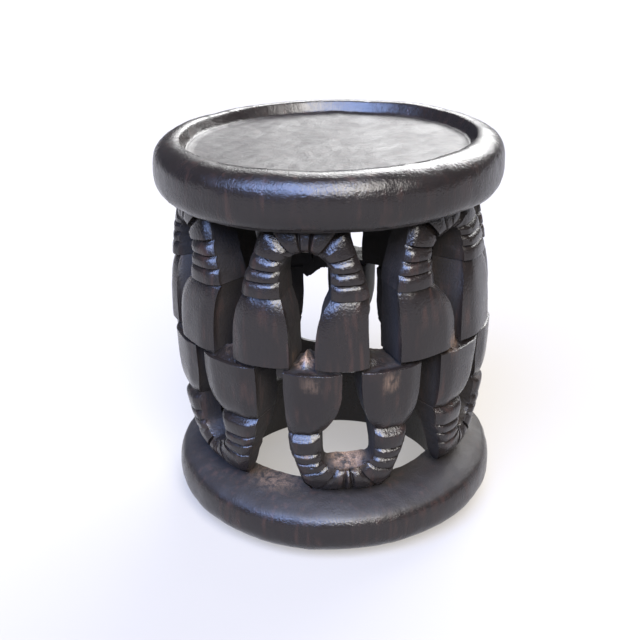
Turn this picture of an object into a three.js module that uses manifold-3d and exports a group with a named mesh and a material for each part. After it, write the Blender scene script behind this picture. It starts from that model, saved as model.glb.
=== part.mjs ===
// Carved wooden stool: a dished round seat on an openwork drum, on a round base ring.
// The drum has two tiers of double gongs. Each gong pair shares one handle, bent like a
// hairpin and cut in shingled segments. The upper pairs hang mouth down from the seat,
// and the lower pairs stand mouth up on the base, half a bell out of step with them.
// One log, one solid. Millimetres, +Z up, origin on the floor under the middle.
// Azimuths are in degrees: 0 faces the front (-Y), and they grow towards +X.

import * as THREE from 'three';
import { mergeVertices } from 'three/addons/utils/BufferGeometryUtils.js';
import Module from 'manifold-3d';

// Driving dimensions
const SEAT_RADIUS = 190;
const HEIGHT = 432;
const SEAT_THICKNESS = 58;
const SEAT_SIDE_DEPTH = 27;
const RIM_INNER_RADIUS = 159.5;
const DISH_RADIUS = 153;
const DISH_DEPTH = 13.5;
const DISH_WALL_STOP = 1.5;
const BASE_RADIUS = 188.5;
const BASE_THICKNESS = 74;
const BASE_SIDE_DEPTH = 101.5;
const HOLE_TOP_RADIUS = 129.5;
const HOLE_BOTTOM_RADIUS = 125.5;
const FOOT_RADIUS = 143;
const FOOT_EASE = 3;

// The rounded sides of seat and base are superellipses
const SIDE_FULLNESS = 2.9;
const SEAT_SIDE_REACH = 89;
const SIDE_STEPS = 8;
const ROUND_STEPS = 64;

const MERGE_DISTANCE = 1e-4;

// The drum's wall swells gently between seat and base and tucks in at the foot
const SWELL_RADIUS = 182;
const SWELL_HEIGHT = 232;
const SWELL_CURVE_ABOVE = 556;
const SWELL_CURVE_BELOW = 680;
const TUCK_HEIGHT = 96;
const TUCK_SOFTNESS = 50;

// Inside, the wall is hollowed wider near the base
const WALL_INNER_RADIUS = 132;
const FOOT_INNER_RADIUS = 146;
const FOOT_HOLLOW_TOP = 132;
const FOOT_HOLLOW_END = 158;

// Bells
const BELL_LEVELS = 5;
const FACET_SHARE = 0.22;
const ARRIS_DROP = 4.5;
const FLARE_POWER = 3.6;
const SHOULDER_RECESS = 4;

// Handles
const RIDGE_DROP = 3.2;
const JOINT_SHARE = 0.07;
const HANDLE_ARRIS_SHARE = 0.14;
const HANDLE_OVERLAP = 1.5;

// The pattern of a handle: where each joint line meets its inner and its outer edge, from
// the bells to the keystone, as half angle and rise, inner then outer. Every half of a
// pair stretches the pattern so that its arm fits its own bell.
const PATTERN_INNER = 8.6;
const PATTERN_OUTER = 21;
const FULL_LIFT_HALF = 8;
const HANDLE_JOINTS = [
  [8.3, 0, 21.2, 0],
  [8.4, 16, 20.3, 16],
  [8.2, 27.5, 18.9, 29],
  [6.8, 37.5, 17.3, 44.5],
  [3.8, 44, 13, 76],
  [1.4, 46.5, 3, 79],
];

// The tiers join where an upper bell's foot stands over a lower bell's mouth
const BRIDGE_INNER_RADIUS = 134;
const BRIDGE_OUTER_RADIUS = 176;
const BRIDGE_DEPTH = 3;
const BRIDGE_MARGIN = 0.4;

// The pairs were spaced by eye. A pair has the azimuth of its handle's middle and a shape
// for its left and its right half: half angles from that middle to the bell's inner and
// outer edge at the mouth, the same at the shoulder, and how much higher than the tier's
// own its shoulder stands. The first three pairs of a tier show in front, and the back
// ones are placed by the slits between them.
const UPPER_TIER = {
  mouthHeight: 231,
  shoulderHeight: 305,
  towardsHandle: 1,
  handleReach: 1,
  collarRise: 0,
  collarBevel: 0,
  pairs: [
    { middle: -70.2, left: [4.4, 27, 8.6, 23, 0], right: [2.6, 26.2, 11.6, 28.4, 0] },
    { middle: -8.4, left: [5.8, 26.6, 9.4, 22.9, 0], right: [2.9, 20.4, 8.6, 21.2, 0] },
    { middle: 46.6, left: [0.7, 23.7, 9.7, 23.7, 2], right: [3.2, 32, 9.3, 29.5, 10] },
    { middle: 111, left: [4.4, 24, 8.6, 21, 0], right: [4.4, 24, 8.6, 21, 0] },
    { middle: 166.6, left: [4.4, 23.2, 8.6, 21, 0], right: [4.4, 23.2, 8.6, 21, 0] },
    { middle: 218, left: [4.4, 27.3, 8.6, 24, 0], right: [4.4, 30, 8.6, 26, 0] },
  ],
};
const LOWER_TIER = {
  mouthHeight: 227,
  shoulderHeight: 158,
  towardsHandle: -1,
  handleReach: 1.03,
  collarRise: 6,
  collarBevel: 7,
  pairs: [
    { middle: -53.5, left: [1.8, 25, 8, 22.5, 0], right: [3.7, 26.8, 8.8, 24.6, 3] },
    { middle: 4.9, left: [1.9, 21.3, 10, 21.2, -4], right: [4.7, 25.7, 10, 21.5, -2] },
    { middle: 62.5, left: [0.3, 23.2, 7.8, 23, 3], right: [0.8, 22, 8.6, 21, 0] },
    { middle: 125.4, left: [4, 28, 8.6, 24, 0], right: [4, 28, 8.6, 26.8, 0] },
    { middle: 188.5, left: [7.1, 28.1, 9.2, 26.5, 0], right: [7.1, 28.1, 9.2, 25, 0] },
    { middle: 249, left: [3, 26, 8.6, 22, 0], right: [3, 26, 8.6, 22, 0] },
  ],
};

const wasm = await Module();
wasm.setup();

function radians(degrees) {
  return THREE.MathUtils.degToRad(degrees);
}

// The wall's outer radius at a height
function wallRadius(z) {
  const curve = z > SWELL_HEIGHT ? SWELL_CURVE_ABOVE : SWELL_CURVE_BELOW;
  const tuck = Math.max(0, TUCK_HEIGHT - z) ** 2 / TUCK_SOFTNESS;
  return SWELL_RADIUS - (z - SWELL_HEIGHT) ** 2 / (2 * curve) - tuck;
}

// The wall's inner radius at a height
function innerRadius(z) {
  const share = THREE.MathUtils.smoothstep(z, FOOT_HOLLOW_TOP, FOOT_HOLLOW_END);
  return THREE.MathUtils.lerp(FOOT_INNER_RADIUS, WALL_INNER_RADIUS, share);
}

function wrap({ azimuth, z, r }) {
  return [r * Math.sin(radians(azimuth)), -r * Math.cos(radians(azimuth)), z];
}

function toManifold(geometry) {
  const bare = geometry.clone();
  bare.deleteAttribute('normal');
  bare.deleteAttribute('uv');
  const merged = mergeVertices(bare, MERGE_DISTANCE);
  return new wasm.Manifold(new wasm.Mesh({
    numProp: 3,
    vertProperties: new Float32Array(merged.attributes.position.array),
    triVerts: new Uint32Array(merged.index.array),
  }));
}

// A closed solid through rings of wrapped points, capped at its two ends
function loft(rings) {
  const sides = rings[0].length;
  const positions = rings.flat().flatMap(wrap);
  const index = [];
  for (let i = 0; i + 1 < rings.length; i += 1) {
    for (let j = 0; j < sides; j += 1) {
      const a = i * sides + j;
      const b = i * sides + ((j + 1) % sides);
      index.push(a, b, b + sides, a, b + sides, a + sides);
    }
  }
  const last = (rings.length - 1) * sides;
  for (let j = 1; j + 1 < sides; j += 1) {
    index.push(0, j + 1, j);
    index.push(last, last + j, last + j + 1);
  }
  const geometry = new THREE.BufferGeometry();
  geometry.setAttribute('position', new THREE.Float32BufferAttribute(positions, 3));
  geometry.setIndex(index);
  return toManifold(geometry);
}

// One point of a rounded side: a superellipse about (centre, middle height)
function sidePoint(centre, depth, thickness, z0, angle) {
  const power = 2 / SIDE_FULLNESS;
  const across = Math.cos(angle) ** power;
  const up = Math.sign(Math.sin(angle)) * Math.abs(Math.sin(angle)) ** power;
  return new THREE.Vector2(centre + depth * across, z0 + (thickness / 2) * (1 + up));
}

function sideProfile(centre, depth, thickness, z0, topAngle, bottomAngle) {
  const points = [];
  for (let i = 0; i <= SIDE_STEPS; i += 1) {
    const angle = THREE.MathUtils.lerp(topAngle, bottomAngle, i / SIDE_STEPS);
    points.push(sidePoint(centre, depth, thickness, z0, angle));
  }
  return points;
}

// A profile that runs down the outside turns into a ring or disc with its faces out
function turned(profile) {
  const upward = [...profile].reverse();
  const lathe = new THREE.LatheGeometry(upward, ROUND_STEPS);
  lathe.rotateX(Math.PI / 2);
  return toManifold(lathe);
}

function seat() {
  const underside = HEIGHT - SEAT_THICKNESS;
  const centre = SEAT_RADIUS - SEAT_SIDE_DEPTH;
  const reach = radians(SEAT_SIDE_REACH);
  const side = sideProfile(centre, SEAT_SIDE_DEPTH, SEAT_THICKNESS, underside, reach, -reach);
  return turned([
    new THREE.Vector2(0, HEIGHT - DISH_DEPTH),
    new THREE.Vector2(DISH_RADIUS, HEIGHT - DISH_DEPTH),
    new THREE.Vector2(RIM_INNER_RADIUS, HEIGHT - DISH_WALL_STOP),
    ...side,
    new THREE.Vector2(0, underside),
  ]);
}

// The angle at which a superellipse side passes a given radius
function angleAtRadius(centre, depth, radius) {
  return Math.acos(((radius - centre) / depth) ** (SIDE_FULLNESS / 2));
}

function base() {
  const centre = BASE_RADIUS - BASE_SIDE_DEPTH;
  const top = angleAtRadius(centre, BASE_SIDE_DEPTH, HOLE_TOP_RADIUS);
  const bottom = -angleAtRadius(centre, BASE_SIDE_DEPTH, FOOT_RADIUS + FOOT_EASE);
  const side = sideProfile(centre, BASE_SIDE_DEPTH, BASE_THICKNESS, 0, top, bottom);
  return turned([
    ...side,
    new THREE.Vector2(FOOT_RADIUS, 0),
    new THREE.Vector2(HOLE_BOTTOM_RADIUS, 0),
    side[0].clone(),
  ]);
}

function halfShape(pair, side) {
  return side < 0 ? pair.left : pair.right;
}

// A level section of a bell: two deep flanks and a face of three facets
function bellRing(from, to, z, faceRadius) {
  const share = (to - from) * FACET_SHARE;
  return [
    { azimuth: from, z, r: innerRadius(z) },
    { azimuth: from, z, r: faceRadius - ARRIS_DROP },
    { azimuth: from + share, z, r: faceRadius },
    { azimuth: to - share, z, r: faceRadius },
    { azimuth: to, z, r: faceRadius - ARRIS_DROP },
    { azimuth: to, z, r: innerRadius(z) },
  ];
}

// The azimuths between which a bell lies, for a flare of 0 at the mouth and 1 at the shoulder
function bellSpan(pair, side, flare) {
  const [mouthInner, mouthOuter, shoulderInner, shoulderOuter] = halfShape(pair, side);
  const inner = THREE.MathUtils.lerp(mouthInner, shoulderInner, flare);
  const outer = THREE.MathUtils.lerp(mouthOuter, shoulderOuter, flare);
  const ends = [pair.middle + side * inner, pair.middle + side * outer];
  return [Math.min(...ends), Math.max(...ends)];
}

function bell(tier, pair, side) {
  const lift = halfShape(pair, side).at(-1);
  const rings = [];
  for (let i = 0; i <= BELL_LEVELS; i += 1) {
    const share = Math.sin((Math.PI / 2) * (i / BELL_LEVELS));
    const flare = share ** FLARE_POWER;
    const z = THREE.MathUtils.lerp(tier.mouthHeight, tier.shoulderHeight, share) + lift * flare;
    rings.push(bellRing(...bellSpan(pair, side, flare), z, wallRadius(z) - SHOULDER_RECESS * flare));
  }
  return loft(tier.towardsHandle > 0 ? rings : rings.reverse());
}

// A half angle of the handle pattern, stretched to meet both edges of the half's bell
function stretched(half, shape) {
  const [, , shoulderInner, shoulderOuter] = shape;
  const innerScale = shoulderInner / PATTERN_INNER;
  const outerScale = shoulderOuter / PATTERN_OUTER;
  const share = (half - PATTERN_INNER) / (PATTERN_OUTER - PATTERN_INNER);
  return half * THREE.MathUtils.lerp(innerScale, outerScale, share);
}

// A section across the handle, from its outer edge to its inner edge
function handleRing(tier, pair, side, joint, drop) {
  const [innerHalf, innerRise, outerHalf, outerRise] = joint;
  const shape = halfShape(pair, side);
  const spot = (across, below, flush) => {
    const half = THREE.MathUtils.lerp(outerHalf, innerHalf, across);
    const rise = THREE.MathUtils.lerp(outerRise, innerRise, across);
    const lift = shape.at(-1) * Math.min(1, half / FULL_LIFT_HALF);
    const z = tier.shoulderHeight + tier.towardsHandle * rise + lift;
    const r = flush ? innerRadius(z) : wallRadius(z) - drop - below;
    return { azimuth: pair.middle + side * stretched(half, shape), z, r };
  };
  return [
    spot(0, 0, true),
    spot(0, ARRIS_DROP, false),
    spot(HANDLE_ARRIS_SHARE, 0, false),
    spot(1 - HANDLE_ARRIS_SHARE, 0, false),
    spot(1, ARRIS_DROP, false),
    spot(1, 0, true),
  ];
}

function between(from, to, share) {
  return from.map((value, i) => THREE.MathUtils.lerp(value, to[i], share));
}

// The joints of one tier's handles: its collar may stand taller, and its reach differs
function tierJoints(tier) {
  return HANDLE_JOINTS.map(([innerHalf, innerRise, outerHalf, outerRise], i) => {
    const lift = i === 0 ? 0 : tier.collarRise;
    return [innerHalf, innerRise * tier.handleReach + lift, outerHalf, outerRise * tier.handleReach + lift];
  });
}

// The collar starts inside the bell's shoulder, and may slope out from it
function collarRings(tier, pair, side, collar) {
  const [innerHalf, , outerHalf] = collar;
  const start = [innerHalf, -HANDLE_OVERLAP, outerHalf, -HANDLE_OVERLAP];
  if (tier.collarBevel === 0) {
    return [handleRing(tier, pair, side, start, 0)];
  }
  const brow = [innerHalf, tier.collarBevel, outerHalf, tier.collarBevel];
  return [
    handleRing(tier, pair, side, start, tier.collarBevel),
    handleRing(tier, pair, side, brow, 0),
  ];
}

// The sections of one half of a handle: each segment stands proud at its end nearest
// the bell and falls away towards the next one
function halfHandle(tier, pair, side) {
  const joints = tierJoints(tier);
  const rings = collarRings(tier, pair, side, joints[0]);
  for (let i = 0; i + 1 < joints.length; i += 1) {
    if (i > 0) {
      rings.push(handleRing(tier, pair, side, between(joints[i], joints[i + 1], JOINT_SHARE), 0));
    }
    rings.push(handleRing(tier, pair, side, between(joints[i], joints[i + 1], 1 - JOINT_SHARE), RIDGE_DROP));
  }
  rings.push(handleRing(tier, pair, side, joints.at(-1), 0));
  return rings;
}

// The handle runs with its outer edge on the left hand, seen from outside
function handle(tier, pair) {
  const firstSide = -tier.towardsHandle;
  const going = halfHandle(tier, pair, firstSide);
  const coming = halfHandle(tier, pair, -firstSide).reverse();
  return loft([...going, ...coming]);
}

function mouthSpans(tier) {
  return tier.pairs.flatMap((pair) => [-1, 1].map((side) => bellSpan(pair, side, 0)));
}

// The block of wood left standing where a mouth above and a mouth below overlap
function bridge(from, to) {
  const heights = [LOWER_TIER.mouthHeight - BRIDGE_DEPTH, UPPER_TIER.mouthHeight + BRIDGE_DEPTH];
  return loft(heights.map((z) => [
    { azimuth: from, z, r: BRIDGE_INNER_RADIUS },
    { azimuth: from, z, r: BRIDGE_OUTER_RADIUS },
    { azimuth: to, z, r: BRIDGE_OUTER_RADIUS },
    { azimuth: to, z, r: BRIDGE_INNER_RADIUS },
  ]));
}

function bridges() {
  const blocks = [];
  for (const [upperFrom, upperTo] of mouthSpans(UPPER_TIER)) {
    for (const [lowerFrom, lowerTo] of mouthSpans(LOWER_TIER)) {
      const turn = 360 * Math.round((upperFrom - lowerFrom) / 360);
      const from = Math.max(upperFrom, lowerFrom + turn) + BRIDGE_MARGIN;
      const to = Math.min(upperTo, lowerTo + turn) - BRIDGE_MARGIN;
      if (to - from > BRIDGE_MARGIN) {
        blocks.push(bridge(from, to));
      }
    }
  }
  return blocks;
}

function tierSolids(tier) {
  return tier.pairs.flatMap((pair) => [
    bell(tier, pair, -1),
    bell(tier, pair, 1),
    handle(tier, pair),
  ]);
}

function toGeometry(solid) {
  const mesh = solid.getMesh();
  const geometry = new THREE.BufferGeometry();
  geometry.setAttribute('position', new THREE.BufferAttribute(new Float32Array(mesh.vertProperties), 3));
  geometry.setIndex(new THREE.BufferAttribute(new Uint32Array(mesh.triVerts), 1));
  const flat = geometry.toNonIndexed();
  flat.computeVertexNormals();
  return flat;
}

function stool() {
  const parts = [base(), seat(), ...tierSolids(UPPER_TIER), ...tierSolids(LOWER_TIER), ...bridges()];
  const whole = parts.reduce((sum, part) => sum.add(part));
  const ebonisedWood = new THREE.MeshStandardMaterial({ color: 0x1f1b1a, roughness: 0.35, metalness: 0 });
  const mesh = new THREE.Mesh(toGeometry(whole), ebonisedWood);
  mesh.name = 'stool';
  return mesh;
}

const group = new THREE.Group();
group.add(stool());

export default group;
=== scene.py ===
"""Carved wooden stool: dished seat, openwork drum of double gongs, round base ring.

The stool is one piece, carved from one log, and replaces the frame's node "stool".
Sizes are in metres and angles in degrees unless a name says otherwise. Azimuth 0 faces
the front (-Y), and azimuths grow towards +X.
"""

import math

import bmesh
import bpy
import numpy as np
from mathutils import Matrix, Vector


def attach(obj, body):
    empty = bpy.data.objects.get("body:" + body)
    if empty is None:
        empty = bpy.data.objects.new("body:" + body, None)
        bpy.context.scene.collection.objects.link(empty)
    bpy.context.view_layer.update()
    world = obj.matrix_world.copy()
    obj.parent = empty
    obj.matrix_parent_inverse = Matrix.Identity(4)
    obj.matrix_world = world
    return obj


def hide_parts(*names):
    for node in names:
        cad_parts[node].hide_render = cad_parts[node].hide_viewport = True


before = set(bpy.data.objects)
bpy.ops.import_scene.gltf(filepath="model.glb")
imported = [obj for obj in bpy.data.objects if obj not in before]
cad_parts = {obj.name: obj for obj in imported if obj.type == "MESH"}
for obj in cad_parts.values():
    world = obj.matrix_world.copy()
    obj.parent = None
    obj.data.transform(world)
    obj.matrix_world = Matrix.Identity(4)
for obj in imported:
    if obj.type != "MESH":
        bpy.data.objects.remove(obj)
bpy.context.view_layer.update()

bl_info = {
    "name": "Carved gong stool",
    "version": (1, 0, 0),
    "blender": (4, 5, 0),
    "location": "3D View > Sidebar > Stool",
    "description": "Carves a hollow wooden stool with two tiers of double gongs",
    "category": "Add Mesh",
}

MM = 0.001
SEED = 7
MATH = "ShaderNodeMath"
VECTOR_MATH = "ShaderNodeVectorMath"
MIX = "ShaderNodeMix"
MAP_RANGE = "ShaderNodeMapRange"
NAMED_ATTRIBUTE = "GeometryNodeInputNamedAttribute"
PIECE = "carved_stool"
BODY = "root"

# The drum's wall swells gently between seat and base and tucks in at the foot
SWELL_RADIUS = 182 * MM
SWELL_HEIGHT = 232 * MM
CURVE_ABOVE = 556 * MM
CURVE_BELOW = 680 * MM
TUCK_HEIGHT = 96 * MM
TUCK_SOFTNESS = 50 * MM

# Inside, the wall is hollowed wider near the base
WALL_INNER_RADIUS = 132 * MM
FOOT_INNER_RADIUS = 146 * MM
FOOT_HOLLOW_TOP = 132 * MM
FOOT_HOLLOW_END = 158 * MM

# Seat and base
SEAT_SIDE_DEPTH = 27 * MM
RIM_INNER_RADIUS = 159.5 * MM
DISH_RADIUS = 153 * MM
DISH_WALL_STOP = 1.5 * MM
BASE_SIDE_DEPTH = 101.5 * MM
HOLE_TOP_RADIUS = 129.5 * MM
HOLE_BOTTOM_RADIUS = 125.5 * MM
FOOT_RADIUS = 143 * MM
FOOT_EASE = 3 * MM
SIDE_FULLNESS = 2.9
SEAT_TOP_FULLNESS = 2.45
SEAT_SIDE_REACH = 89
SIDE_RINGS = 40

# The seat's floor and underside, in millimetres: first radius, limit and step of the rings
# on the floor, steps out and up from the foot of the dish's wall, then its top and the
# rings under the seat
FLOOR_RINGS = (3.5, 147, 4.1)
DISH_FOOT = ((-3.8, -0.2), (-2.6, 0.5), (-1.6, 0.8), (-0.6, 0.7))
DISH_WALL_START = (0.8, 1.8)
DISH_WALL_RINGS = 5
RIM_EASE = (1.0, 0.5)
UNDERSIDE_RINGS = (152, 140, 128, 116, 100, 80, 60, 40, 20)
BASE_FINE_STEPS = 120
BASE_RINGS = 44
HOLE_RINGS = 10

# Steps round the axis for rings above a radius
RING_LIMITS = ((92 * MM, 240), (44 * MM, 120), (20 * MM, 60), (8 * MM, 30), (0, 15))

# Faces of bells and handles: three soft facets between two arrises
FACET_SHARE = 0.22
FACET_SOFTNESS = 0.06
BELL_ARRIS_DROP = 4.5 * MM
HANDLE_ARRIS_SHARE = 0.16
HANDLE_ARRIS_DROP = 4.0 * MM
HANDLE_ROUNDNESS = 2.6 * MM
FLARE_POWER = 3.6
SHOULDER_RECESS = 5.5 * MM
SHOULDER_POWER = 7
BELL_LEVELS = 15
MOUTH_CHAMFER = 1.3 * MM
MOUTH_CHAMFER_RISE = 1.04 * MM
SHARP_ANGLE = 44

# A section runs across the face from its outer arris (0) to its inner one (1), then down
# the inner flank, along the back and up the outer flank. Flank values are shares of the
# wall's depth.
FACE_SPOTS = np.array([0, 0.05, 0.12, 0.18, 0.23, 0.29, 0.38, 0.5, 0.62, 0.71, 0.77, 0.82, 0.88, 0.95, 1])
FLANK_SHARES = np.array([0.74, 0.56, 0.38, 0.2])
BACK_SPOTS = np.array([1, 0.75, 0.5, 0.25, 0])
CAP_SHARES = (0.8, 0.55, 0.3)
DEGREE_ON_WALL = 3.1 * MM

# The pattern of a handle: its joint lines from the bell to the keystone, as half angle and
# rise in millimetres of the inner and then of the outer edge. Every half of a pair
# stretches the pattern so that its arm fits its own bell.
PATTERN_INNER = 8.6
PATTERN_OUTER = 21.0
FULL_LIFT_HALF = 8.0
HANDLE_JOINTS = (
    (8.3, 0, 21.2, 0),
    (8.4, 16, 20.3, 16),
    (8.2, 27.5, 18.9, 29),
    (6.8, 37.5, 17.3, 44.5),
    (3.8, 44, 13, 76),
    (1.4, 46.5, 3, 79),
)
KEYSTONE_JOINT = len(HANDLE_JOINTS) - 1

# How a cut is carved, whichever way up the handle stands: the segment above ends in a
# proud edge, a stop cut goes straight in under it, and a bevel comes back out below
EDGE_ROUND = 1.1 * MM
EDGE_DROP = 0.25 * MM
CUT_WIDTH = 1.1 * MM
UNDERCUT = 0.9 * MM
CUT_EDGE_SHARE = 0.55
CUT_FADE = 0.16
CUT_FLOOR_SHARE = 0.92
# shares of the bevel's width and of the cut's depth
BEVEL_ROWS = ((0.45, 0.42), (0.85, 0.08), (1.15, 0.0))
# shares of the groove's width and depth, across the groove beside the keystone
GROOVE_ROWS = ((-1, 0), (-0.55, 0.3), (-0.15, 0.9), (0.15, 0.95), (0.5, 0.35), (0.9, 0))
SEGMENT_SWELL = 0.35 * MM
CROWN_SWELL = 0.2 * MM
CROWN_ROW = 0.28
KEYSTONE_ROWS = (0.35, 0.6)
# joints between which the lift of the crown's back sets in
BACK_LIFT_FADE = (1.6, 4.4)

# The pairs were spaced one by one. A pair has the azimuth of its handle's middle, a shape for
# its left and its right half, and a rise of the crown's back in millimetres. A shape has
# half angles to the bell's inner and outer edge at the mouth, the same at the shoulder,
# and how many millimetres above the tier's own the shoulder stands. The first three pairs
# of a tier show in front, and the back ones are placed by the slits between them.
UPPER_TIER = {
    "mouth_height": 231 * MM,
    "shoulder_height": 305 * MM,
    "towards_handle": 1,
    "reach": 1.0,
    "collar_rise": 0.0,
    "mouth": (4.4, 23.2),
    "keystone": (1.4, 3.0),
    "bow": 0.4 * MM,
    # depth of the cut, then the bevel's width at the outer and at the inner edge
    "cuts": ((0.4, 0, 0), (4.0, 3.6, 4.0), (4.0, 3.6, 4.0), (4.2, 4.0, 4.6), (5.4, 8.5, 6.5)),
    "groove": (3.4, 3.8, 1.4),
    "pairs": (
        (-70.2, (4.4, 27, 8.6, 23, 0), (2.6, 26.2, 11.6, 28.4, 0), 0),
        (-8.4, (5.8, 26.6, 9.4, 22.9, 0), (2.9, 20.4, 8.6, 21.2, 0), 0),
        (46.6, (0.7, 23.7, 9.7, 23.7, 2), (3.2, 32, 9.3, 29.5, 10), 0),
        (111, (4.4, 24, 8.6, 21, 0), (4.4, 24, 8.6, 21, 0), 0),
        (166.6, (4.4, 23.2, 8.6, 21, 0), (4.4, 23.2, 8.6, 21, 0), 0),
        (218, (4.4, 27.3, 8.6, 24, 0), (4.4, 30, 8.6, 26, 0), 0),
    ),
}
LOWER_TIER = {
    "mouth_height": 227 * MM,
    "shoulder_height": 158 * MM,
    "towards_handle": -1,
    "reach": 1.03,
    "collar_rise": 6 * MM,
    "mouth": (2.2, 22.2),
    "keystone": (0.9, 1.8),
    "bow": 1.8 * MM,
    "cuts": ((9.0, 6.0, 6.5), (4.4, 3.0, 4.0), (4.4, 3.0, 5.5), (4.6, 3.4, 7.5), (4.8, 3.8, 7.5)),
    "groove": (4.0, 4.4, 2.2),
    "pairs": (
        (-53.5, (1.8, 25, 8, 22.5, 0), (3.7, 26.8, 8.8, 24.6, 3), 10),
        (4.9, (1.9, 21.3, 10, 21.2, -4), (4.7, 25.7, 10, 21.5, -2), 13),
        (62.5, (0.3, 23.2, 7.8, 23, 3), (0.8, 22, 8.6, 21, 0), 9),
        (125.4, (4, 28, 8.6, 24, 0), (4, 28, 8.6, 26.8, 0), 12),
        (188.5, (7.1, 28.1, 9.2, 26.5, 0), (7.1, 28.1, 9.2, 25, 0), 8),
        (249, (3, 26, 8.6, 22, 0), (3, 26, 8.6, 22, 0), 13),
    ),
}

# Where an upper bell's foot stands over a lower bell's mouth, the wood is left joined
BRIDGE_OUTER_RADIUS = 176 * MM
BRIDGE_DEPTH = 3 * MM
BRIDGE_MARGIN = 0.4
BRIDGE_INSIDE_RADII = (134, 148, 162)
BRIDGE_COLUMNS = 5
# least and greatest setback from the outer radius, in millimetres
BRIDGE_SETBACK = (-1, 3)

# Leftover wood on the lower mouths, in the gaps between neighbouring upper bells:
# azimuth of the gap, half its width, radius of the wood's front foot and of its top in
# millimetres, and its heights over the mouth from left to right
WEB_GRID = (9, 13)
WEB_DEPTH = 5 * MM
WEB_FOOT_DEPTH = 0.6 * MM
WEB_INTO_BELL = 0.9
WEB_FALL = 0.45
WEB_ROUGHNESS = 1.1
# how far a web's back stays short of the hollow, in millimetres
WEB_BACK = 2
SHOWN_WEBS = (
    (-39.5, 4.5, 178, 168, (3, 9, 13, 17, 22)),
    (-9.9, 4.4, 172, 157, (2, 5, 15, 6, 2)),
    (17.4, 5.5, 173, 158, (5, 11, 8, 4, 1)),
    (47.8, 2.0, 179, 170, (8, 12, 13, 10, 6)),
)

# The webs that don't show: least and greatest height, foot radius and step from the foot
# in to the crest, all in millimetres, and how many degrees they keep from the shown ones
HIDDEN_HEIGHTS = (5, 17)
HIDDEN_FOOT = (171, 178)
HIDDEN_STEP = (8, 15)
HIDDEN_DISTANCE = 3

# Leftover wood that hangs from the upper mouths: from and to azimuth, inner and outer
# radius in millimetres, and how far it hangs from left to right
HANGING_ROWS = 9
HANGING_ROUGHNESS = 0.9
HANGING_WOOD = (
    (180.4, 196.5, 134, 170, (8.5, 8.5, 9, 13, 18, 19, 12)),
    (-19.4, -15.8, 158, 171, (11, 14, 12)),
)


def linear(hex_colour):
    """Linear RGBA from an sRGB hex value such as #1d1816."""
    value = hex_colour.lstrip("#")
    channels = [int(value[i:i + 2], 16) / 255 for i in (0, 2, 4)]
    return (*[c / 12.92 if c <= 0.04045 else ((c + 0.055) / 1.055) ** 2.4 for c in channels], 1.0)


def add(tree, kind, inputs=(), **settings):
    """Adds a node with its settings and its inputs' values or links, and returns its outputs."""
    node = tree.nodes.new(kind)
    for name, value in settings.items():
        setattr(node, name, value)
    for key, value in inputs.items() if isinstance(inputs, dict) else enumerate(inputs):
        if isinstance(value, bpy.types.NodeSocket):
            tree.links.new(value, node.inputs[key])
        else:
            node.inputs[key].default_value = value
    return node.outputs


def add_steps(tree, values, steps):
    """Adds a node for every step: a name for its result, its kind, its operation, and inputs
    that are names of earlier results or plain values."""
    for name, kind, operation, *inputs in steps:
        found = [values[entry] if isinstance(entry, str) else entry for entry in inputs]
        values[name] = add(tree, kind, found, operation=operation)[0]


def node_group(name, sockets, amounts):
    """A Geometry Nodes tree and its inputs: sockets by kind, then numbers with defaults."""
    tree = bpy.data.node_groups.new(name, "GeometryNodeTree")
    for socket, kind in sockets.items():
        tree.interface.new_socket(socket, in_out="INPUT", socket_type="NodeSocket" + kind)
    for socket, value in amounts.items():
        made = tree.interface.new_socket(socket, in_out="INPUT", socket_type="NodeSocketFloat")
        made.default_value = value
    tree.interface.new_socket("Geometry", in_out="OUTPUT", socket_type="NodeSocketGeometry")
    return tree, dict(add(tree, "NodeGroupInput").items())


def end_group(tree, geometry, wood):
    """Ends a group with its geometry in plain form and in its material."""
    real = add(tree, "GeometryNodeRealizeInstances", (geometry,))[0]
    finished = add(tree, "GeometryNodeSetMaterial", {"Geometry": real, "Material": wood})[0]
    add(tree, "NodeGroupOutput", (finished,))


def lerp(a, b, share):
    return a + (b - a) * share


def smooth_step(low, high, value):
    share = np.clip((value - low) / (high - low), 0, 1)
    return share * share * (3 - 2 * share)


def wall_radius(z):
    curve = np.where(z > SWELL_HEIGHT, CURVE_ABOVE, CURVE_BELOW)
    tuck = np.maximum(0, TUCK_HEIGHT - z) ** 2 / TUCK_SOFTNESS
    return SWELL_RADIUS - (z - SWELL_HEIGHT) ** 2 / (2 * curve) - tuck


def wrapped(azimuth, radius, z):
    angle = np.radians(azimuth)
    return np.stack([radius * np.sin(angle), -radius * np.cos(angle), z + 0 * angle], axis=-1)


def make_object(name, vertices, faces, attributes=None):
    mesh = bpy.data.meshes.new(name)
    mesh.from_pydata([tuple(v) for v in vertices], [], [tuple(f) for f in faces])
    for key, values in (attributes or {}).items():
        write_attribute(mesh, key, values)
    mesh.update()
    made = bpy.data.objects.new(name, mesh)
    bpy.context.scene.collection.objects.link(made)
    return made


def delete_object(made):
    mesh = made.data
    bpy.data.objects.remove(made)
    bpy.data.meshes.remove(mesh)


def plain_copy(made, name):
    """The object's evaluated mesh as a new plain object, and the old one removed."""
    depsgraph = bpy.context.evaluated_depsgraph_get()
    mesh = bpy.data.meshes.new_from_object(made.evaluated_get(depsgraph), depsgraph=depsgraph)
    mesh.name = name
    plain = bpy.data.objects.new(name, mesh)
    bpy.context.scene.collection.objects.link(plain)
    delete_object(made)
    return plain


def signed_volume(vertices, triangles):
    a, b, c = (vertices[triangles[:, i]] for i in range(3))
    return float(np.einsum("ij,ij->i", a, np.cross(b, c)).sum() / 6)


# Turned solids


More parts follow.
